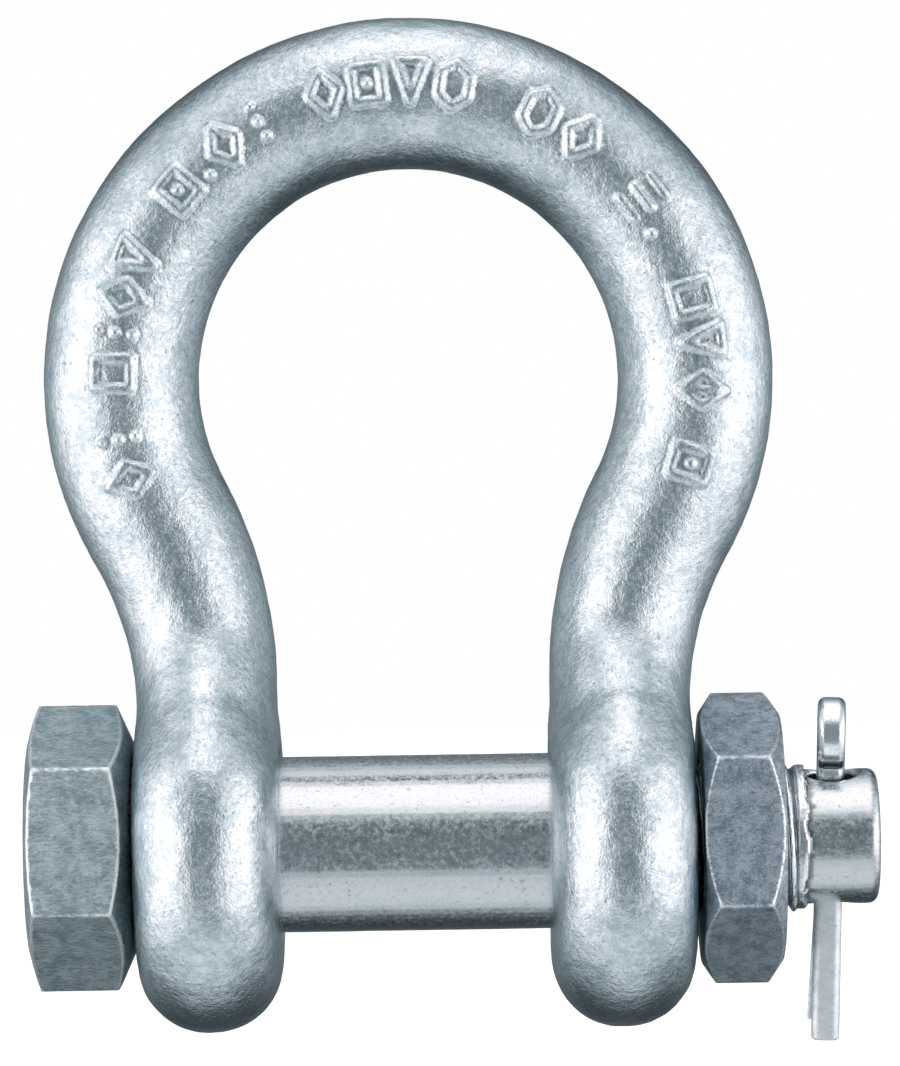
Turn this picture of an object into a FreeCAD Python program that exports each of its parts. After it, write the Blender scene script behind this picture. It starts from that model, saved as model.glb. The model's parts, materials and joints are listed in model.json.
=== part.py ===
import FreeCAD, Part
import math
import os

# A galvanised bow shackle for a load of about 8.5 tonnes, with a hexagon-headed safety bolt.
# Millimetres. The origin is on the bolt's axis, midway between the two ears.
# +X runs along the bolt from its head to its nut, and +Z points from the bolt to the bow's crown.

V = FreeCAD.Vector
X_AXIS = V(1, 0, 0)
Y_AXIS = V(0, 1, 0)
Z_AXIS = V(0, 0, 1)

# ---- driving dimensions: bow ----
bar_diameter = 25.3            # round bar of the bow
bow_radius = 46.8              # crown's arc, measured to the middle of the bar
bow_centre_z = 75.7            # height of the crown arc's centre above the bolt
bow_angle_below = 28.4         # degrees that the crown's arc runs on below its centre
leg_bend_radius = 63.0         # reverse bend that turns each leg upright
leg_thickness = 22.8           # leg along X, just above the ear
ear_diameter = 60.6            # ear round the bolt
ear_thickness = 23.4           # ear along X
ear_rim_radius = 11.3          # rounding of the ear's rim
neck_flare_top = 38.0          # height where the leg starts to widen towards the ear
neck_flare_radius = 22.0       # hollow curve of that widening
neck_flare_share = 0.86        # share of that curve used before the ear takes over
leg_foot_depth = 6.0           # leg's run inside the ear
bow_hole_diameter = 30.2       # hole for the bolt
bow_hole_chamfer = 1.2         # broken edge of that hole

# ---- driving dimensions: bolt ----
shank_diameter = 28.6          # plain shank that carries the load
shank_end_x = 44.4             # end of the plain shank, just inside the nut-side ear
shank_chamfer = 0.9
head_across_flats = 40.6
head_outer_x = -62.8           # free face of the head
head_seat_gap = 0.25           # play between the head and its ear
head_overlap = 1.0             # how far the shank's solid runs into the head
head_corner_radius = 0.9
head_face_radius = 17.6        # flat ring left on the head's free face
head_outer_chamfer_angle = 15.0
head_inner_cone_angle = 24.5   # slope of the cone on the ear's side of the head
head_inner_cone_radius = 16.6  # radius where that cone meets the seat
hex_turn = 5.9                 # degrees that head and nut are turned back from upright
thread_pitch = 3.175
thread_major = 25.3
thread_minor = 21.7
thread_half_angle = 30.0       # slope of each flank
thread_end_x = 62.9
thread_end_slope = 0.4         # length of the step from the thread's root up to the plain end
bolt_tip_diameter = 22.0       # plain end beyond the thread
bolt_tip_x = 75.2
bolt_tip_round = 1.6
cross_hole_x = 67.8            # hole for the split pin
cross_hole_diameter = 8.4
cross_hole_mouth = 10.4        # countersunk mouth of that hole
cross_hole_turn = 10.0         # degrees that the hole's upper end is turned forwards

# ---- driving dimensions: nut ----
nut_across_flats = 41.3
nut_thickness = 13.2
nut_gap = 1.05                 # play between the nut and its ear
nut_corner_radius = 1.1
nut_bore = 22.6                # crest of the nut's own thread
nut_thread_root = 25.9
nut_mouth_radius = 13.4        # wide end of the lead-in cone on each face
nut_face_radius = 20.0         # flat ring left on the nut's outer face
nut_seat_radius = 20.4         # flat ring left on the nut's ear side
nut_chamfer_angle = 34.0
thread_flank_play = 0.13       # play on each flank between nut and bolt

# ---- driving dimensions: split pin ----
pin_wire_width = 4.6           # each leg's flat side; both legs together are as deep again
pin_corner_radius = 1.3        # rounding of each leg's outer corners
pin_gap = 0.2                  # gap between the two flat sides
pin_x = 67.45                  # where the pin's middle crosses the bolt's axis
pin_eye_top_z = 23.0
pin_eye_height = 11.6
pin_neck_radius = 3.0          # bend from each leg into the eye
pin_long_leg_z = -33.9
pin_short_leg_z = -31.1
pin_splay_z = -13.0            # height below which the short leg stands off
pin_splay_angle = 2.6
pin_splay_turn = 65.0          # degrees from straight back to the way the short leg stands off
pin_splay_radius = 25.0
pin_twist = 3.9                # degrees that the pin is turned about its own length
pin_lean = 1.35                # degrees that the pin leans along the bolt in its loose hole
pin_end_round = 0.45           # softened end of the long leg

# ---- fineness of the modelled curves ----
bend_sections = 8              # sections along each leg's reverse bend
foot_sections = 2              # sections below that bend
section_points = 24            # points round each section
hexagon_sides = 6
cut_margin = 1.0               # how far cutters run past the faces they open
thread_overlap = 0.3           # how far each thread ridge is sunk into its body

# ---- worked out from the dimensions above ----
below = math.radians(bow_angle_below)
leg_x = (bow_radius + leg_bend_radius) * math.cos(below) - leg_bend_radius
leg_top_z = bow_centre_z - (bow_radius + leg_bend_radius) * math.sin(below)
ear_outer_x = leg_x + ear_thickness / 2
thread_start_x = shank_end_x - 2.0
head_seat_x = -ear_outer_x - head_seat_gap
nut_seat_x = ear_outer_x + nut_gap


def cylinder_x(radius, x_start, x_end):
    return Part.makeCylinder(radius, x_end - x_start, V(x_start, 0, 0), X_AXIS)


def turned_on_x(outline):
    """Solid turned about the X axis from (x, radius) points."""
    points = [V(x, 0, radius) for x, radius in outline]
    face = Part.Face(Part.makePolygon(points + points[:1]))
    return face.revolve(V(0, 0, 0), X_AXIS, 360)


# ---- bow ----

def leg_line():
    """Middle of the right leg from its foot up to the crown's arc, as (x, z, lean from upright)."""
    line = []
    for i in range(foot_sections):
        line.append((leg_x, leg_top_z - leg_foot_depth * (1 - i / foot_sections), 0.0))
    for i in range(bend_sections + 1):
        lean = below * i / bend_sections
        x = leg_x + leg_bend_radius * (1 - math.cos(lean))
        line.append((x, leg_top_z + leg_bend_radius * math.sin(lean), lean))
    return line


def half_width(z):
    """Half of the leg's width in Y: the bar above, widening in a hollow curve to the ear."""
    drop = min(max(0.0, neck_flare_top - z), neck_flare_radius * neck_flare_share)
    hollow = neck_flare_radius - math.sqrt(neck_flare_radius ** 2 - drop ** 2)
    return bar_diameter / 2 + hollow


def half_thickness(z):
    """Half of the bar's thickness in the bow's own plane, which thins a little down the leg."""
    share = min(1.0, max(0.0, (z - leg_top_z) / (leg_bend_radius * math.sin(below))))
    return (leg_thickness + (bar_diameter - leg_thickness) * share) / 2


def bar_section(x, z, lean):
    """Closed smooth section: round on the bar, drawn out in Y and squarer where the leg widens."""
    thick = half_thickness(z)
    wide = half_width(z)
    power = 2 / (1 + wide / thick)
    across = V(math.cos(lean), 0, -math.sin(lean))
    points = []
    for i in range(section_points):
        angle = 2 * math.pi * i / section_points
        u = thick * math.copysign(abs(math.cos(angle)) ** power, math.cos(angle))
        y = wide * math.copysign(abs(math.sin(angle)) ** power, math.sin(angle))
        points.append(V(x, y, z) + across * u)
    curve = Part.BSplineCurve()
    curve.interpolate(points, PeriodicFlag=True)
    return Part.Wire([curve.toShape()])


def make_leg():
    """Right leg: from inside its ear, through the reverse bend, to the foot of the crown's arc."""
    return Part.makeLoft([bar_section(x, z, lean) for x, z, lean in leg_line()], True, False)


def make_half_crown(leg):
    """Right half of the crown: the leg's upper end face turned up to the middle of the bow."""
    end = max(leg.Faces, key=lambda face: face.CenterOfMass.z + face.CenterOfMass.x)
    return end.revolve(V(0, 0, bow_centre_z), V(0, -1, 0), 90 + bow_angle_below)


def make_ear():
    """Right-hand ear: a thick disc round the bolt, with a fully rounded rim."""
    ear = cylinder_x(ear_diameter / 2, leg_x - ear_thickness / 2, ear_outer_x)
    return ear.makeFillet(ear_rim_radius, [e for e in ear.Edges if e.Length > ear_diameter])


def make_ear_hole():
    """Cutter for the bolt's hole in the right-hand ear, with both of its edges broken."""
    radius = bow_hole_diameter / 2
    inner = leg_x - ear_thickness / 2
    mouth = radius + bow_hole_chamfer
    return turned_on_x([
        (inner - cut_margin, 0), (inner - cut_margin, mouth + cut_margin),
        (inner + bow_hole_chamfer, radius), (ear_outer_x - bow_hole_chamfer, radius),
        (ear_outer_x + cut_margin, mouth + cut_margin), (ear_outer_x + cut_margin, 0)])


def make_bow():
    leg = make_leg()
    half = leg.fuse(make_half_crown(leg))
    half = half.fuse(make_ear()).cut(make_ear_hole())
    return half.fuse(half.mirror(V(0, 0, 0), X_AXIS))


# ---- thread ----

def thread_ridge(root_radius, crest_radius, play, x_end):
    """Helical ridge along X, standing on the root radius and ending at the crest radius."""
    middle = (root_radius + crest_radius) / 2
    flank = math.tan(math.radians(thread_half_angle))
    lean = abs(crest_radius - root_radius) / 2 * flank
    crest_half = thread_pitch / 4 - lean - play / 2
    root_half = thread_pitch / 4 + lean - play / 2
    sunk = root_radius + math.copysign(thread_overlap, root_radius - crest_radius)
    sunk_half = root_half + thread_overlap * flank
    helix = Part.makeLongHelix(thread_pitch, x_end - thread_start_x, middle)
    points = [V(sunk, 0, -sunk_half), V(crest_radius, 0, -crest_half),
              V(crest_radius, 0, crest_half), V(sunk, 0, sunk_half)]
    profile = Part.makePolygon(points + points[:1])
    ridge = Part.Wire(helix).makePipeShell([profile], True, True)
    ridge.rotate(V(0, 0, 0), Y_AXIS, 90)
    ridge.translate(V(thread_start_x, 0, 0))
    return ridge


# ---- bolt ----

def hexagon_x(across_flats, corner_radius, x_start, x_end):
    """Hexagonal prism along X with softened corners, one flat facing -Y."""
    corner = across_flats / math.sqrt(3)
    points = []
    for i in range(hexagon_sides + 1):
        angle = math.radians(360 / hexagon_sides * i + hex_turn)
        points.append(V(x_start, corner * math.sin(angle), corner * math.cos(angle)))
    prism = Part.Face(Part.makePolygon(points)).extrude(V(x_end - x_start, 0, 0))
    corners = [e for e in prism.Edges if e.BoundBox.XLength > (x_end - x_start) / 2]
    return prism.makeFillet(corner_radius, corners)


def make_bolt_head():
    """Forged head: chamfered on its free face, coned on the ear's side down to its seat."""
    beyond = head_across_flats
    chamfer = math.tan(math.radians(head_outer_chamfer_angle))
    cone = math.tan(math.radians(head_inner_cone_angle))
    envelope = turned_on_x([
        (head_outer_x, 0), (head_outer_x, head_face_radius),
        (head_outer_x + (beyond - head_face_radius) * chamfer, beyond),
        (head_seat_x - (beyond - head_inner_cone_radius) * cone, beyond),
        (head_seat_x, head_inner_cone_radius), (head_seat_x, 0)])
    return hexagon_x(head_across_flats, head_corner_radius, head_outer_x, head_seat_x).common(envelope)


def make_bolt_body():
    """Plain shank, threaded length at the thread's root, and plain end with a rounded rim."""
    shank = shank_diameter / 2
    minor = thread_minor / 2
    tip = bolt_tip_diameter / 2
    body = turned_on_x([
        (head_seat_x - head_overlap, 0), (head_seat_x - head_overlap, shank),
        (shank_end_x - shank_chamfer, shank), (shank_end_x, shank - shank_chamfer),
        (shank_end_x, minor), (thread_end_x, minor), (thread_end_x + thread_end_slope, tip),
        (bolt_tip_x, tip), (bolt_tip_x, 0)])
    rim = [e for e in body.Edges if e.BoundBox.XMin > thread_end_x + thread_end_slope
           and e.BoundBox.XLength < bolt_tip_round and e.Length > bolt_tip_diameter]
    return body.makeFillet(bolt_tip_round, rim)


def cross_hole_cutters():
    """Hole for the split pin with a 45 degree countersink at both ends, turned forwards."""
    radius = cross_hole_diameter / 2
    tip = bolt_tip_diameter / 2
    reach = tip + cut_margin
    sink = tip - (cross_hole_mouth / 2 - radius)
    hole = Part.makeCylinder(radius, 2 * reach, V(cross_hole_x, 0, -reach), Z_AXIS)
    cone = Part.makeCone(radius, radius + reach - sink, reach - sink, V(cross_hole_x, 0, sink), Z_AXIS)
    cutters = [hole, cone, cone.mirror(V(0, 0, 0), Z_AXIS)]
    for cutter in cutters:
        cutter.rotate(V(0, 0, 0), X_AXIS, cross_hole_turn)
    return cutters


def make_bolt():
    ridge = thread_ridge(thread_minor / 2, thread_major / 2, thread_flank_play, thread_end_x)
    return make_bolt_body().fuse([ridge, make_bolt_head()]).cut(cross_hole_cutters())


# ---- nut ----

def make_nut():
    """Hexagon nut chamfered on both faces, with a lead-in cone at each end of its thread."""
    outer = nut_seat_x + nut_thickness
    beyond = nut_across_flats
    slope = math.tan(math.radians(nut_chamfer_angle))
    envelope = turned_on_x([
        (nut_seat_x, 0), (nut_seat_x, nut_seat_radius),
        (nut_seat_x + (beyond - nut_seat_radius) * slope, beyond),
        (outer - (beyond - nut_face_radius) * slope, beyond),
        (outer, nut_face_radius), (outer, 0)])
    blank = hexagon_x(nut_across_flats, nut_corner_radius, nut_seat_x, outer).common(envelope)
    bore = nut_bore / 2
    lead = nut_mouth_radius - bore
    wide = nut_mouth_radius + cut_margin
    drill = turned_on_x([
        (nut_seat_x - cut_margin, 0), (nut_seat_x - cut_margin, wide), (nut_seat_x + lead, bore),
        (outer - lead, bore), (outer + cut_margin, wide), (outer + cut_margin, 0)])
    groove = thread_ridge(bore, nut_thread_root / 2, -thread_flank_play, outer + thread_pitch)
    return blank.cut([drill, groove])


# ---- split pin ----

def arc(start, middle, end):
    return Part.Arc(start, middle, end).toShape()


def across_y(point):
    return V(point.x, -point.y, point.z)


def pin_eye_path():
    """Inner side of the eye and its neck, from the long leg's top round to the short leg's top."""
    gap = pin_gap / 2
    neck = pin_neck_radius
    eye = (pin_eye_height - pin_wire_width) / 2
    eye_z = pin_eye_top_z - pin_eye_height / 2
    drop = math.sqrt((eye + neck) ** 2 - (gap + neck) ** 2)
    neck_z = eye_z - drop
    turn = math.atan2(drop, gap + neck)
    top = [V(0, -(gap + neck) + neck * math.cos(part * turn), neck_z + neck * math.sin(part * turn))
           for part in (0, 0.5, 1)]
    back = [across_y(point) for point in top]
    return [arc(*top), arc(top[2], V(0, 0, eye_z + eye), back[2]), arc(back[2], back[1], back[0])]


def pin_splay_path():
    """Flat side of the short leg, straight through the bolt and then standing off."""
    side = math.radians(pin_splay_turn)
    away = V(-math.sin(side), math.cos(side), 0)
    splay = math.radians(pin_splay_angle)
    start = V(0, pin_gap / 2, pin_splay_z)
    bend = [start + away * (pin_splay_radius * (1 - math.cos(part * splay)))
            - Z_AXIS * (pin_splay_radius * math.sin(part * splay)) for part in (0, 0.5, 1)]
    rest = bend[2].z - pin_short_leg_z
    tail = bend[2] + away * (rest * math.tan(splay)) - Z_AXIS * rest
    return [arc(*bend), Part.makeLine(bend[2], tail)]


def pin_section(foot):
    """Section of one leg, whose flat inner side is centred on the foot: squarish and well rounded."""
    side = pin_wire_width / 2
    straight = side - pin_corner_radius
    slant = straight + pin_corner_radius * math.sqrt(0.5)
    left = [V(-side, -straight, 0), V(-slant, -slant, 0), V(-straight, -side, 0)]
    right = [V(-point.x, point.y, 0) for point in reversed(left)]
    inner = [V(side, 0, 0), V(-side, 0, 0)]
    edges = [Part.makeLine(inner[0], inner[1]), Part.makeLine(inner[1], left[0]), arc(*left),
             Part.makeLine(left[2], right[0]), arc(*right), Part.makeLine(right[2], inner[0])]
    section = Part.Wire(edges)
    section.translate(foot)
    return section


def make_split_pin():
    foot = V(0, -pin_gap / 2, pin_long_leg_z)
    eye = pin_eye_path()
    splay = pin_splay_path()
    neck = eye[0].firstVertex().Point
    long_leg = Part.makeLine(foot, neck)
    short_leg = Part.makeLine(across_y(neck), V(0, pin_gap / 2, pin_splay_z))
    path = Part.Wire([long_leg] + eye + [short_leg] + splay)
    pin = path.makePipeShell([pin_section(foot)], True, False)
    outline = [e for e in pin.Edges if e.BoundBox.ZMax < pin_long_leg_z + pin_end_round
               and e.CenterOfMass.y < foot.y - pin_end_round]
    pin = pin.makeFillet(pin_end_round, outline)
    pin.rotate(V(0, 0, 0), Z_AXIS, -pin_twist)
    pin.rotate(V(0, 0, 0), Y_AXIS, pin_lean)
    pin.rotate(V(0, 0, 0), X_AXIS, cross_hole_turn)
    pin.translate(V(pin_x, 0, 0))
    return pin


def save(shape, name):
    shape.exportStep(os.path.join("parts", name + ".step"))


os.makedirs("parts", exist_ok=True)
save(make_bow(), "bow")
save(make_bolt(), "bolt")
save(make_nut(), "nut")
save(make_split_pin(), "split_pin")
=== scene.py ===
import json
import math

import bpy
import numpy as np
from mathutils import Matrix, Vector, noise

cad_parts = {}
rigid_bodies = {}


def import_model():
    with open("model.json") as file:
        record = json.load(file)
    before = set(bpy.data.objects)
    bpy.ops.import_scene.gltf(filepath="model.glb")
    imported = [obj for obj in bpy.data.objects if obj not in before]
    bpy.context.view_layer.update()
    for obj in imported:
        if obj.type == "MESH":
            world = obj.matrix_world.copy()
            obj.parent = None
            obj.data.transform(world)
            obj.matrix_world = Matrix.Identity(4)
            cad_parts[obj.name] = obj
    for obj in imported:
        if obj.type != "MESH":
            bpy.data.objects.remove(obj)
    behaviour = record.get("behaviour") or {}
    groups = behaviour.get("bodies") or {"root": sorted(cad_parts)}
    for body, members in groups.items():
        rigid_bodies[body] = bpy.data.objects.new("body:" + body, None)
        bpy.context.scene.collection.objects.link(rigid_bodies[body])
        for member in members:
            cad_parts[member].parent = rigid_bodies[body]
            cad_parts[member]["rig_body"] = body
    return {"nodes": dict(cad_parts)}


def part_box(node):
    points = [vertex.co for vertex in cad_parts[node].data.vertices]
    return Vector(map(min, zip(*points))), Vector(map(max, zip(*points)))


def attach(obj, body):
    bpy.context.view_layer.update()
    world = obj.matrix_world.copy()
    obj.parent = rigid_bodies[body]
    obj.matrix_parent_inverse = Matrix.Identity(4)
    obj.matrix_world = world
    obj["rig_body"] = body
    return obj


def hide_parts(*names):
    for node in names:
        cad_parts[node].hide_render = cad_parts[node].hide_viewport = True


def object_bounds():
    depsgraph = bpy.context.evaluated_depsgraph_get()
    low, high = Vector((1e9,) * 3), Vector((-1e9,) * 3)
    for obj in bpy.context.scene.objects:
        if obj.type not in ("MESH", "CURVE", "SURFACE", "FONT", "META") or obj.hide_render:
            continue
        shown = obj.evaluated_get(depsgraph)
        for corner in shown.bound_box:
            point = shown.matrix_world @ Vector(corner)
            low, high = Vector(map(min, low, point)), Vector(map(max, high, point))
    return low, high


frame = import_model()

# The bow shackle's looks. Metres, in the CAD frame: +X along the bolt, +Z to the bow's crown.
# Each CAD node is rebuilt as a fine mesh with the softened edges and the uneven skin of hot-dipped
# steel, and the bow carries raised forged marks on its front.

CAD_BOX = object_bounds()
MM = 0.001

# ---- the bow's shape, as the CAD has it ----
BAR_RADIUS = 12.65 * MM
BOW_RADIUS = 46.8 * MM                  # crown's arc, to the middle of the bar
BOW_CENTRE_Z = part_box("bow")[1].z - BOW_RADIUS - BAR_RADIUS
EAR_X = 33.6 * MM                       # middle of each ear, left and right of the origin

# ---- what forging and bending change on it ----
NECK_Z = 23.0 * MM                      # height where each neck runs into its ear
HOLE_CLEARANCE = 19.0 * MM              # radius about the bolt from which ears and necks are reshaped
EAR_SQUARENESS = 2.25                   # power of the ears' rounded outline, 2 being a circle
CROWN_STRETCH = 0.6 * MM                # how much thinner bending has left the bar at the crown's top

# ---- raised marks ----
MARK_HALF = 3.7 * MM                    # half of a mark's height
MARK_RIDGE = 0.85 * MM                  # half-width of its ridges
MARK_LIFT = 0.6 * MM
MARK_RADIUS = BOW_RADIUS + 0.8 * MM     # circle that the marks stand on

# ---- meshes ----
FACE_LIMIT = 195000                     # triangles left in one piece
BOW_VOXEL = 0.42 * MM

# ---- camera ----
PHOTO_HEIGHT = 1066
SCALE_PX_PER_M = 6130.0                 # size at which the bolt's axis plane is seen
CAMERA_DISTANCE = 0.9
CAMERA_X = 6.4 * MM
CAMERA_Z = 50.4 * MM
CAMERA_ROLL = math.radians(0.92)


# ---- mesh helpers ----

def coordinates(mesh):
    points = np.zeros(len(mesh.vertices) * 3, np.float32)
    mesh.vertices.foreach_get("co", points)
    return points.reshape(-1, 3).astype(float)


def set_coordinates(mesh, points):
    mesh.vertices.foreach_set("co", np.ascontiguousarray(points, np.float32).ravel())
    mesh.update()


def normals(mesh):
    values = np.zeros(len(mesh.vertices) * 3, np.float32)
    mesh.vertices.foreach_get("normal", values)
    return values.reshape(-1, 3).astype(float)


def edges(mesh):
    pairs = np.zeros(len(mesh.edges) * 2, np.int32)
    mesh.edges.foreach_get("vertices", pairs)
    return pairs.reshape(-1, 2)


def spread(values, pairs):
    """Mean of each vertex's neighbours."""
    shape = (len(values), -1) if values.ndim > 1 else (len(values), 1)
    flat = values.reshape(shape)
    count = np.bincount(pairs.ravel(), minlength=len(flat))
    total = np.empty_like(flat)
    for k in range(flat.shape[1]):
        total[:, k] = (np.bincount(pairs[:, 0], flat[pairs[:, 1], k], len(flat))
                       + np.bincount(pairs[:, 1], flat[pairs[:, 0], k], len(flat)))
    return (total / np.maximum(count, 1)[:, None]).reshape(values.shape)


def smoothed(points, pairs, rounds, weight=0.5):
    for _ in range(rounds):
        points = points + (spread(points, pairs) - points) * weight
    return points


def noise_at(points, size, seed, depth):
    """Fractal noise about zero, with features of the given size in metres."""
    offset = Vector((seed * 17.3, seed * 5.1, seed * 9.7))
    scale = 1 / size
    return np.array([noise.fractal(Vector(p) * scale + offset, 1.0, 2.0, depth) for p in points])


def bell(distance, width):
    """1 at no distance, falling smoothly to almost nothing at twice the width."""
    return np.exp(-(distance / width) ** 2)


def rise(value, start, width):
    """0 up to the start, 1 from the start plus the width on, and straight between them."""
    return np.clip((value - start) / width, 0, 1)


def bolt_distance(points):
    """Each point's distance from the bolt's axis, which is the X axis."""
    return np.hypot(points[:, 1], points[:, 2])


def remeshed(node, voxel, rounds):
    """Fine even copy of a CAD node, with its sharp edges softened."""
    source = bpy.data.objects.new(node + "_source", frame["nodes"][node].data.copy())
    bpy.context.scene.collection.objects.link(source)
    remesh = source.modifiers.new("even", "REMESH")
    remesh.mode = "VOXEL"
    remesh.voxel_size = voxel
    remesh.adaptivity = 0
    bpy.context.view_layer.update()
    mesh = bpy.data.meshes.new_from_object(source.evaluated_get(bpy.context.evaluated_depsgraph_get()))
    bpy.data.objects.remove(source)
    set_coordinates(mesh, smoothed(coordinates(mesh), edges(mesh), rounds))
    return mesh


def add_wear_sheen_and_shade(mesh, rounds, size):
    """Stores how far each vertex stands out from its surroundings: on edges for paler rubbed zinc that is
    also a painted highlight, in hollows for painted shade.
    """
    points = coordinates(mesh)
    pairs = edges(mesh)
    surroundings = smoothed(points, pairs, rounds, weight=0.7)
    stand_out = ((points - surroundings) * normals(mesh)).sum(1) / size
    stand_out = spread(stand_out, pairs)
    # The first mask paints edges paler, partly as rubbed zinc and partly as a painted highlight. The second
    # paints shade into hollows.
    for name, values in (("edge_wear_sheen", np.clip(stand_out, 0, 1)), ("hollow_shade", np.clip(-stand_out, 0, 1))):
        layer = mesh.attributes.new(name, "FLOAT", "POINT")
        layer.data.foreach_set("value", values.astype(np.float32))


def piece(name, node, mesh, material):
    """A finished visible piece that stands for a CAD node."""
    thing = bpy.data.objects.new(name, mesh)
    bpy.context.scene.collection.objects.link(thing)
    triangles = len(mesh.polygons) * 2
    if triangles > FACE_LIMIT:
        thin = thing.modifiers.new("thin", "DECIMATE")
        thin.ratio = FACE_LIMIT / triangles
        bpy.context.view_layer.update()
        fine = bpy.data.meshes.new_from_object(thing.evaluated_get(bpy.context.evaluated_depsgraph_get()))
        thing.modifiers.clear()
        thing.data = fine
    thing.data.materials.clear()
    thing.data.materials.append(material)
    thing.data.polygons.foreach_set("use_smooth", [True] * len(thing.data.polygons))
    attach(thing, frame["nodes"][node]["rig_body"])
    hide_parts(node)
    return thing


# ---- materials ----

class Nodes:
    """Small helper that adds and links shader nodes in one material or world."""

    def __init__(self, tree):
        self.tree = tree
        self.tree.nodes.clear()

    def add(self, kind, inputs=None, **settings):
        node = self.tree.nodes.new(kind)
        for key, value in settings.items():
            setattr(node, key, value)
        for key, value in (inputs or {}).items():
            if isinstance(value, bpy.types.NodeSocket):
                self.tree.links.new(value, node.inputs[key])
            else:
                node.inputs[key].default_value = value
        return node

    def maths(self, operation, a, b=0.0):
        return self.add("ShaderNodeMath", {0: a, 1: b}, operation=operation).outputs[0]

    def times(self, a, b):
        return self.maths("MULTIPLY", a, b)

    def plus(self, a, b):
        return self.maths("ADD", a, b)

    def minus(self, a, b):
        return self.maths("SUBTRACT", a, b)

    def noise(self, place, size, detail, rough, distort=0.0):
        node = self.add("ShaderNodeTexNoise", {"Vector": place, "Scale": 1 / size, "Detail": detail,
                                               "Roughness": rough, "Distortion": distort})
        return node.outputs["Fac"]

    def ramp(self, value, low, high, out_low=0.0, out_high=1.0):
        node = self.add("ShaderNodeMapRange", {"Value": value, "From Min": low, "From Max": high,
                                               "To Min": out_low, "To Max": out_high})
        return node.outputs[0]

    def mix(self, share, a, b, blend_type="MIX"):
        """From a to b as the share goes from 0 to 1. The numbers are the colour sockets of the Mix node."""
        node = self.add("ShaderNodeMix", {0: share, 6: a, 7: b}, data_type="RGBA", blend_type=blend_type)
        return node.outputs[2]


def colour(rgb, share=1.0):
    """A colour for a socket, scaled to a share of its brightness."""
    return tuple(channel * share for channel in rgb) + (1.0,)


NOISE_MIDDLE = 0.5                      # mean of what a noise texture gives
PATCH_SIZE = 0.8 * MM                   # dull patches on the turned metal, and dark specks in the zinc
PATCH_PALENESS = (0.42, 0.56)           # patch noise over which the turned metal goes from dark to pale
PATCH_DULLNESS = (0.46, 0.61)           # patch noise over which it goes from glossy to dull
PATCH_ROUGHNESS = 0.31                  # how much duller the patches are than the metal round them
SPECK_NOISE = (0.34, 0.28)              # speck noise over which a dark speck comes in
TURNED_EDGE = 0.5 * MM                  # half the width over which zinc gives way to turned metal
LEGS_TOP = 5 * MM                       # height up to which the split pin's legs are dull
EYE_BOTTOM = 9 * MM                     # height from which its eye is glossy
GLOSS_NOISE = (0.38, 0.62)              # noise over which the zinc goes from dull to glossy
GLOSS_STRAY = 0.06                      # how far its roughness strays to either side
EDGE_RAGGEDNESS = 1.3                   # how strongly the flecks break up the rubbing and painted highlight along edges
EDGE_WEAR_SHEEN = (0.6, 0.85)                 # how far edges stand out where their rubbing and painted highlight begin and end
HOLLOW_SHADE_DEPTHS = (0.15, 0.8)               # how deep hollows are where their painted shade begins and ends
HOLLOW_SHADE_SHARE = 0.75                     # how much of a deep hollow's colour is the painted shade


def zinc_colour(n, look, pattern):
    """Mottled zinc and patchy bare metal, darker in specks, with painted shade in hollows and paler edges
    that are partly rubbed zinc and partly a painted highlight.
    """
    broad, middling, small = look["shares"]
    cloud = n.plus(n.times(pattern["mottle"], broad), n.times(pattern["fleck"], middling))
    cloud = n.plus(cloud, n.times(pattern["grain"], small))
    paleness = n.ramp(cloud, NOISE_MIDDLE - look["window"], NOISE_MIDDLE + look["window"])
    skin = n.mix(paleness, colour(look["dark"]), colour(look["pale"]))
    patches = n.ramp(pattern["patches"], *PATCH_PALENESS)
    bare = n.mix(patches, colour(look["bare"], 0.78), colour(look["bare"]))
    shade = n.mix(pattern["turned"], skin, bare)
    shade = n.mix(n.times(pattern["specks"], look["specks"]), shade, colour(look["dark"], 0.4))

    edge_wear_sheen = n.add("ShaderNodeAttribute", attribute_name="edge_wear_sheen").outputs["Fac"]
    hollow_shade = n.add("ShaderNodeAttribute", attribute_name="hollow_shade").outputs["Fac"]
    # Paler edges: partly rubbed zinc, partly a painted highlight, broken up by the flecks.
    ragged_wear_sheen = n.plus(edge_wear_sheen, n.times(n.minus(pattern["fleck"], NOISE_MIDDLE), EDGE_RAGGEDNESS))
    shade = n.mix(n.times(n.ramp(ragged_wear_sheen, *EDGE_WEAR_SHEEN), look["wear_sheen"]), shade, colour(look["worn_sheen"]))
    # Hollows darkened towards a dark grey: painted shade.
    return n.mix(n.ramp(hollow_shade, *HOLLOW_SHADE_DEPTHS, 0.0, HOLLOW_SHADE_SHARE), shade, colour(look["dark"], 0.35))


def zinc_roughness(n, look, pattern):
    """Uneven gloss: the zinc's strays a little, and the turned metal is dull in its patches."""
    uneven = n.plus(n.times(pattern["fleck"], 0.6), n.times(pattern["mottle"], 0.4))
    stray = n.ramp(uneven, *GLOSS_NOISE, GLOSS_STRAY, -GLOSS_STRAY)
    level = n.ramp(pattern["turned"], 0.0, 1.0, look["rough"], look["rough_bare"])
    if "rough_low" in look:
        level = n.ramp(pattern["z"], LEGS_TOP, EYE_BOTTOM, look["rough_low"], look["rough"])
    dull = n.times(n.ramp(pattern["patches"], *PATCH_DULLNESS), pattern["turned"])
    return n.plus(n.plus(level, stray), n.times(dull, PATCH_ROUGHNESS))


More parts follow.
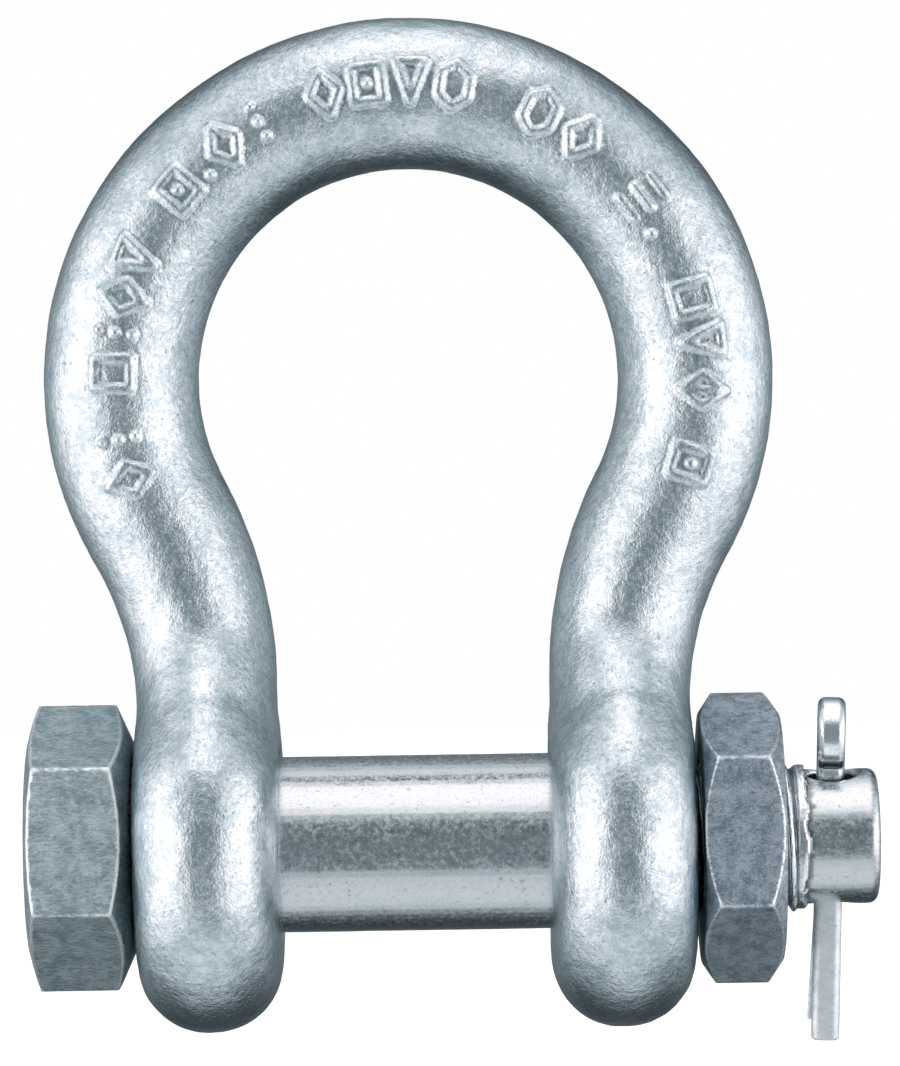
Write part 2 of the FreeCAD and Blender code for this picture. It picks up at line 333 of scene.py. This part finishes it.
def zinc_height(n, look, pattern):
    """Bump of the granular zinc with its sunken specks, or of the patches on the turned metal."""
    skin = n.plus(n.times(pattern["grain"], 0.35), n.times(pattern["fleck"], 0.95))
    skin = n.minus(skin, n.times(pattern["specks"], 0.12))
    skin = n.times(skin, n.minus(1.0, pattern["turned"]))
    patches = n.times(n.times(pattern["patches"], pattern["turned"]), look["bare_grain"])
    return n.plus(skin, patches)


def zinc(name, look):
    """Zinc-coated steel: mottled grey metal with a granular skin, edges paled as rubbed zinc and as a
    painted highlight, and painted shade in hollows.

    pale, dark, bare and worn_sheen are colours, worn_sheen being pale rubbed zinc that is also a painted
    highlight. mottle, fleck and grain are the sizes of three noises, shares is how much each counts in the
    colour, and window is half the range of their sum from dark to pale. stretch below 1 draws the flecks out
    along X. wear_sheen and specks are how strongly the pale edges and the specks show. Turned metal starts
    at
    X = shank, with the roughness rough_bare and the bump bare_grain. Elsewhere the roughness is rough, or
    rough_low in the split pin's legs. depth is the bump's height."""
    material = bpy.data.materials.new(name)
    material.use_nodes = True
    n = Nodes(material.node_tree)
    place = n.add("ShaderNodeTexCoord").outputs["Object"]
    drawn = n.add("ShaderNodeMapping", {"Vector": place, "Scale": (look["stretch"], 1, 1)}).outputs[0]
    x, _, z = n.add("ShaderNodeSeparateXYZ", {0: place}).outputs
    pattern = {
        "z": z,
        "turned": n.ramp(x, look["shank"] - TURNED_EDGE, look["shank"] + TURNED_EDGE),
        "mottle": n.noise(place, look["mottle"], detail=5.0, rough=0.62, distort=0.5),
        "fleck": n.noise(drawn, look["fleck"], detail=4.0, rough=0.68, distort=0.3),
        "grain": n.noise(place, look["grain"], detail=3.0, rough=0.6),
        "patches": n.noise(place, PATCH_SIZE, detail=6.0, rough=0.78, distort=0.4),
        "specks": n.ramp(n.noise(place, PATCH_SIZE, detail=2.0, rough=0.5), *SPECK_NOISE),
    }
    bump = n.add("ShaderNodeBump", {"Height": zinc_height(n, look, pattern), "Distance": look["depth"],
                                    "Strength": 1.0})
    shader = n.add("ShaderNodeBsdfPrincipled", {"Base Color": zinc_colour(n, look, pattern), "Metallic": 1.0,
                                                "Roughness": zinc_roughness(n, look, pattern),
                                                "Normal": bump.outputs[0]})
    out = n.add("ShaderNodeOutputMaterial")
    n.tree.links.new(shader.outputs[0], out.inputs[0])
    return material


NO_SHANK = 1.0                          # an X beyond the part, for a piece without turned metal

# In each look, the pale edge colour and its strength paint edges partly as rubbed zinc and partly as a
# painted highlight.
BOW_LOOK = {
    "pale": (0.69, 0.76, 0.785), "dark": (0.44, 0.535, 0.57), "bare": (0.6, 0.68, 0.71),
    "worn_sheen": (0.82, 0.88, 0.90), "wear_sheen": 0.2, "rough": 0.185, "rough_bare": 0.185, "bare_grain": 1.0,
    "mottle": 4.5 * MM, "fleck": 1.0 * MM, "stretch": 1.0, "grain": 0.33 * MM, "depth": 0.16 * MM,
    "specks": 0.55, "shank": NO_SHANK, "shares": (0.4, 0.38, 0.22), "window": 0.07,
}
BOLT_LOOK = {
    "pale": (0.62, 0.725, 0.75), "dark": (0.27, 0.36, 0.385), "bare": (0.64, 0.69, 0.71),
    "worn_sheen": (0.88, 0.92, 0.92), "wear_sheen": 0.85, "rough": 0.40, "rough_bare": 0.10, "bare_grain": 0.22,
    "mottle": 3.0 * MM, "fleck": 0.42 * MM, "stretch": 0.4, "grain": 0.2 * MM, "depth": 0.12 * MM,
    "specks": 0.35, "shank": -45.7 * MM, "shares": (0.38, 0.38, 0.24), "window": 0.072,
}
NUT_LOOK = {
    "pale": (0.61, 0.70, 0.76), "dark": (0.21, 0.28, 0.33), "bare": (0.60, 0.66, 0.69),
    "worn_sheen": (0.88, 0.92, 0.93), "wear_sheen": 0.85, "rough": 0.38, "rough_bare": 0.4, "bare_grain": 1.0,
    "mottle": 2.5 * MM, "fleck": 0.35 * MM, "stretch": 0.6, "grain": 0.2 * MM, "depth": 0.07 * MM,
    "specks": 0.5, "shank": NO_SHANK, "shares": (0.38, 0.32, 0.3), "window": 0.065,
}
PIN_LOOK = {
    "pale": (0.90, 0.93, 0.93), "dark": (0.70, 0.76, 0.77), "bare": (0.8, 0.84, 0.84),
    "worn_sheen": (0.95, 0.97, 0.97), "wear_sheen": 0.5, "rough": 0.18, "rough_bare": 0.18, "bare_grain": 1.0,
    "mottle": 2.5 * MM, "fleck": 0.6 * MM, "stretch": 1.0, "grain": 0.4 * MM, "depth": 0.035 * MM,
    "specks": 0.3, "shank": NO_SHANK, "shares": (0.5, 0.3, 0.2), "rough_low": 0.55, "window": 0.09,
}


# ---- bow ----

def mark_strokes():
    """Raised marks as (angle round the bow, strokes). A stroke is a line of (along, outwards) points."""
    diamond = [[(0, -1), (0.7, 0), (0, 1), (-0.7, 0), (0, -1)]]
    square = [[(-0.65, -0.8), (0.65, -0.8), (0.65, 0.8), (-0.65, 0.8), (-0.65, -0.8)]]
    vee = [[(-0.65, 0.9), (0, -0.9), (0.65, 0.9), (-0.65, 0.9)]]
    hexagon = [[(0, -1), (0.65, -0.5), (0.65, 0.5), (0, 1), (-0.65, 0.5), (-0.65, -0.5), (0, -1)]]
    dots = [[(0, y), (0.01, y)] for y in (-0.75, 0, 0.75)]
    dot = [[(0, -0.6), (0.01, -0.6)]]
    rungs = [[(-0.55, y), (0.55, y)] for y in (-0.85, 0, 0.85)]
    dotted_square = square + [[(0, 0), (0.01, 0)]]
    split_diamond = diamond + [[(0, -1), (0, 1)]]
    return [
        (199.5, diamond), (191.5, dots),
        (178.5, square), (170.5, dots), (163.5, diamond), (155.5, vee),
        (140, dotted_square), (133.5, dot), (127.5, diamond), (119.5, dots),
        (105.5, diamond), (97, dotted_square), (88.5, vee), (80, hexagon),
        (62.5, hexagon), (53, diamond),
        (36.5, rungs), (29.5, dot),
        (14.5, square), (6, vee), (-3.5, split_diamond), (-18, dotted_square),
    ]


def stroke_distance(a, b, strokes):
    """How far the points (a, b) are from the nearest stroke."""
    nearest = np.full(len(a), np.inf)
    for stroke in strokes:
        for (a0, b0), (a1, b1) in zip(stroke, stroke[1:]):
            da = a1 - a0
            db = b1 - b0
            t = np.clip(((a - a0) * da + (b - b0) * db) / (da * da + db * db), 0, 1)
            nearest = np.minimum(nearest, np.hypot(a - a0 - t * da, b - b0 - t * db))
    return nearest


def mark_height(points):
    """How far the forged marks lift the bow's front, at each point."""
    groove_depth = 0.06 * MM
    faintest = 0.35
    lift = np.zeros(len(points))
    x = points[:, 0]
    z = points[:, 2] - BOW_CENTRE_Z
    front = points[:, 1] < -0.3 * BAR_RADIUS
    fade = 0.85 + 0.5 * noise_at(points, 7 * MM, seed=31, depth=1)
    for angle, strokes in mark_strokes():
        turn = math.radians(angle)
        outwards = x * math.cos(turn) + z * math.sin(turn) - MARK_RADIUS
        along = x * math.sin(turn) - z * math.cos(turn)
        near = (abs(along) < 2 * MARK_HALF) & (abs(outwards) < 2 * MARK_HALF) & front
        distance = stroke_distance(along[near] / MARK_HALF, outwards[near] / MARK_HALF, strokes)
        reach = distance * MARK_HALF / MARK_RIDGE
        ridge = np.clip(1 - reach ** 2, 0, 1) ** 0.6 * MARK_LIFT * np.clip(fade[near], faintest, 1)
        groove = bell(reach - 1.35, 0.3) * groove_depth
        lift[near] = np.where(ridge > 0, np.maximum(lift[near], ridge), lift[near] - groove)
    return lift


def square_ears(points):
    """Flattens the ears' fronts and backs a little, as the forging dies leave them."""
    fade_bottom = 13 * MM
    fade_top = 20 * MM
    radius = bolt_distance(points)
    across = abs(points[:, 1]) / radius
    upright = abs(points[:, 2]) / radius
    full = (across ** EAR_SQUARENESS + upright ** EAR_SQUARENESS) ** (-1 / EAR_SQUARENESS)
    low = 1 - rise(points[:, 2], fade_bottom, fade_top - fade_bottom)
    share = low * rise(radius, HOLE_CLEARANCE, 5 * MM)
    points[:, 1:] *= (1 + (full - 1) * share)[:, None]
    return points


def fill_necks(points):
    """Fills the hollow above each ear into a straighter slope, and rounds its flat front and back."""
    rounding = 0.16
    filling = 0.155
    filling_z = 27 * MM
    half_thickness = 11.5 * MM
    radius = bolt_distance(points)
    clear = rise(radius, HOLE_CLEARANCE, 4 * MM)
    across = np.clip((abs(points[:, 0]) - EAR_X) / half_thickness, -1, 1)
    points[:, 1] *= 1 - rounding * bell(points[:, 2] - NECK_Z, 8 * MM) * clear * across ** 2
    points[:, 1] *= 1 + filling * clear * bell(points[:, 2] - filling_z, 6.5 * MM)
    return points


def slim_crown(points):
    """Draws the crown's outer side in a little, where bending has stretched the bar."""
    x = points[:, 0]
    z = points[:, 2] - BOW_CENTRE_Z
    radius = np.hypot(x, z)
    share = rise(radius, BOW_RADIUS, BAR_RADIUS) * rise(z, 0, BOW_RADIUS) ** 3
    points[:, 0] = x - x / radius * share * CROWN_STRETCH
    points[:, 2] = BOW_CENTRE_Z + z - z / radius * share * CROWN_STRETCH
    return points


def smooth_necks(points, pairs):
    """Evens the bow out where its necks run into the ears, away from the holes."""
    rounds = 40
    strength = 0.6
    rim = 18 * MM
    neck = bell(points[:, 2] - NECK_Z, 7 * MM) * (bolt_distance(points) > rim)
    for _ in range(rounds):
        points += (spread(points, pairs) - points) * strength * neck[:, None]
    return points


def make_bow(material):
    mesh = remeshed("bow", BOW_VOXEL, rounds=3)
    points = slim_crown(fill_necks(square_ears(coordinates(mesh))))
    points = smooth_necks(points, edges(mesh))
    set_coordinates(mesh, points)
    facing = normals(mesh)
    swell = noise_at(points, 9 * MM, seed=1, depth=2) * 0.10 * MM
    skin = noise_at(points, 2.4 * MM, seed=2, depth=3) * 0.05 * MM
    points += facing * (swell + skin + mark_height(points))[:, None]
    set_coordinates(mesh, points)
    add_wear_sheen_and_shade(mesh, rounds=12, size=0.25 * MM)
    return piece("forged_bow", "bow", mesh, material)


# ---- bolt, nut and split pin ----

def roughen_thread_end(points):
    """Lumpy zinc left where the thread runs out, just beyond the nut."""
    start = 59.9 * MM
    end = 63.3 * MM
    root = 10.2 * MM
    crest = 11.9 * MM
    low_level = 11.1 * MM
    step_start = 61.2 * MM
    step_height = 0.65 * MM
    x = points[:, 0]
    radius = bolt_distance(points)
    lumps = noise_at(points * (3, 1, 1), 2.4 * MM, seed=41, depth=2) * 0.6
    ragged_end = end + noise_at(points, 2.2 * MM, seed=42, depth=2) * 0.5 * MM
    within = (x > start) & (x < ragged_end)
    level = low_level + np.clip(x - step_start, 0, step_height) + lumps * 0.15 * MM
    filled = within & (radius > root) & (radius < level)
    grow = np.where(filled, level / np.maximum(radius, MM), 1.0)
    grow = np.where(within & (radius > crest), 1 - abs(lumps) * 0.02, grow)
    points[:, 1:] *= grow[:, None]
    return points


def make_turned(name, node, material, voxel, rounds, swell_depth, finish=None):
    """The bolt, nut or split pin: softened, a little uneven, and with a finish of its own if it has one."""
    mesh = remeshed(node, voxel * (1.0), rounds)
    points = coordinates(mesh)
    facing = normals(mesh)
    swell = noise_at(points, 5 * MM, seed=5, depth=2) * swell_depth
    points += facing * swell[:, None]
    if finish:
        points = finish(points)
    set_coordinates(mesh, points)
    add_wear_sheen_and_shade(mesh, rounds=6, size=0.07 * MM)
    return piece(name, node, mesh, material)


# ---- studio ----

# Brightness of the surroundings as (degrees away from straight in front, value), for what lies to the
# sides, above and below.
SIDES = [
    (0, 0.30), (18, 0.33), (25, 0.68), (31, 1.2), (39, 1.8), (52, 2.0), (75, 1.85), (95, 1.6),
    (106, 1.15), (118, 0.75), (130, 0.52), (145, 0.36), (160, 0.28), (180, 0.25),
]
ABOVE = [
    (0, 0.30), (28, 0.31), (36, 0.62), (44, 1.15), (53, 1.6), (65, 1.7), (88, 1.65), (104, 1.3),
    (116, 0.95), (128, 0.52), (145, 0.27), (160, 0.22), (180, 0.25),
]
BELOW = [
    (0, 0.30), (28, 0.33), (38, 0.8), (55, 0.98), (84, 0.98), (97, 0.55), (106, 0.25),
    (125, 0.08), (155, 0.12), (180, 0.25),
]
# How much of it is left between the soft boxes, as (degrees round the view from +X towards +Z, share).
GAPS = [
    (0, 1.0), (14, 0.95), (32, 0.64), (50, 0.46), (66, 0.62), (84, 1.0), (96, 1.0), (112, 0.66),
    (127, 0.52), (145, 0.7), (165, 0.96), (180, 1.0), (198, 0.92), (216, 0.7), (235, 0.78),
    (255, 0.95), (285, 0.97), (305, 0.7), (325, 0.64), (345, 0.88), (360, 1.0),
]
GAPS_START = 30                         # degrees from straight in front where the gaps begin
GAPS_FULL = 50
COOL = (0.80, 0.97, 1.07, 1)            # tint of the dim surroundings
WARM = (1.07, 0.975, 0.99, 1)           # tint of the bright ones
WHITE = (1.0, 1.0, 1.0, 1)


def curve_of(n, value, stops, whole):
    """A curve through the (place, value) stops, for a place from 0 to 1 that stands for 0 to whole."""
    node = n.add("ShaderNodeFloatCurve", {"Value": value})
    top = max(height for _, height in stops)
    curve = node.mapping.curves[0]
    for place, height in stops[1:-1]:
        curve.points.new(place / whole, height / top)
    curve.points[0].location = (0, stops[0][1] / top)
    curve.points[-1].location = (1, stops[-1][1] / top)
    node.mapping.update()
    return n.times(node.outputs[0], top)


def make_studio():
    """Soft boxes left, right and above the front, a dim floor below, and a dim rear."""
    world = bpy.data.worlds.new("studio")
    bpy.context.scene.world = world
    world.use_nodes = True
    n = Nodes(world.node_tree)
    place = n.add("ShaderNodeTexCoord").outputs["Generated"]
    x, y, z = n.add("ShaderNodeSeparateXYZ", {0: place}).outputs
    angle = n.maths("DIVIDE", n.maths("ARCCOSINE", n.times(y, -1.0)), math.pi)
    across = n.maths("SQRT", n.plus(n.times(x, x), n.times(z, z)))
    steepness = n.maths("DIVIDE", z, n.maths("MAXIMUM", across, 0.001))
    sides = curve_of(n, angle, SIDES, 180)
    above = curve_of(n, angle, ABOVE, 180)
    below = curve_of(n, angle, BELOW, 180)
    light = n.mix(n.ramp(steepness, 0.45, 0.85), sides, above)
    light = n.mix(n.ramp(steepness, -0.45, -0.85), light, below)

    turn = n.maths("ARCTAN2", z, x)
    turn = n.maths("FRACT", n.plus(n.maths("DIVIDE", turn, 2 * math.pi), 1.0))
    gaps = curve_of(n, turn, GAPS, 360)
    outer = n.ramp(angle, GAPS_START / 180, GAPS_FULL / 180)
    loss = n.times(outer, n.minus(1.0, gaps))
    light = n.times(light, n.ramp(loss, 0.0, 1.0, 1.0, 0.0))

    tint = n.mix(n.ramp(light, 0.15, 1.6), COOL, WARM)
    lit = n.mix(1.0, light, tint, blend_type="MULTIPLY")
    seen = n.add("ShaderNodeLightPath").outputs["Is Camera Ray"]
    background = n.add("ShaderNodeBackground", {"Color": n.mix(seen, lit, WHITE), "Strength": 1.0})
    out = n.add("ShaderNodeOutputWorld")
    n.tree.links.new(background.outputs[0], out.inputs[0])


def make_floor():
    """A pale ground below the part that neither shows in its reflections nor lights it."""
    half = 6.0
    z = CAD_BOX[0][2] - 0.16
    mesh = bpy.data.meshes.new("floor")
    corners = [(-half, -half, z), (half, -half, z), (half, half, z), (-half, half, z)]
    mesh.from_pydata(corners, [], [(0, 1, 2, 3)])
    floor = bpy.data.objects.new("floor", mesh)
    bpy.context.scene.collection.objects.link(floor)
    material = bpy.data.materials.new("pale_floor")
    material.use_nodes = True
    shader = material.node_tree.nodes["Principled BSDF"]
    shader.inputs["Base Color"].default_value = (0.9, 0.9, 0.9, 1)
    shader.inputs["Roughness"].default_value = 0.9
    shader.inputs["Emission Color"].default_value = WHITE
    shader.inputs["Emission Strength"].default_value = 0.35
    mesh.materials.append(material)
    floor.visible_glossy = False
    floor.visible_diffuse = False


def make_camera():
    data = bpy.data.cameras.new("camera")
    data.sensor_fit = "AUTO"
    data.lens = CAMERA_DISTANCE * SCALE_PX_PER_M / PHOTO_HEIGHT * data.sensor_width
    data.clip_end = 50
    camera = bpy.data.objects.new("camera", data)
    bpy.context.scene.collection.objects.link(camera)
    turn = Matrix.Rotation(CAMERA_ROLL, 4, "Y") @ Matrix.Rotation(math.radians(90), 4, "X")
    camera.matrix_world = Matrix.Translation((CAMERA_X, -CAMERA_DISTANCE, CAMERA_Z)) @ turn
    bpy.context.scene.camera = camera


def main():
    make_bow(zinc("bow_zinc", BOW_LOOK))
    make_turned("safety_bolt", "bolt", zinc("bolt_zinc", BOLT_LOOK), voxel=0.3 * MM, rounds=1,
                swell_depth=0.03 * MM, finish=roughen_thread_end)
    make_turned("hexagon_nut", "nut", zinc("nut_zinc", NUT_LOOK), voxel=0.25 * MM, rounds=1,
                swell_depth=0.025 * MM)
    make_turned("bent_split_pin", "split_pin", zinc("pin_zinc", PIN_LOOK), voxel=0.16 * MM, rounds=2,
                swell_depth=0.02 * MM)
    make_studio()
    make_floor()
    make_camera()
    bpy.context.scene.view_settings.view_transform = "Standard"


main()
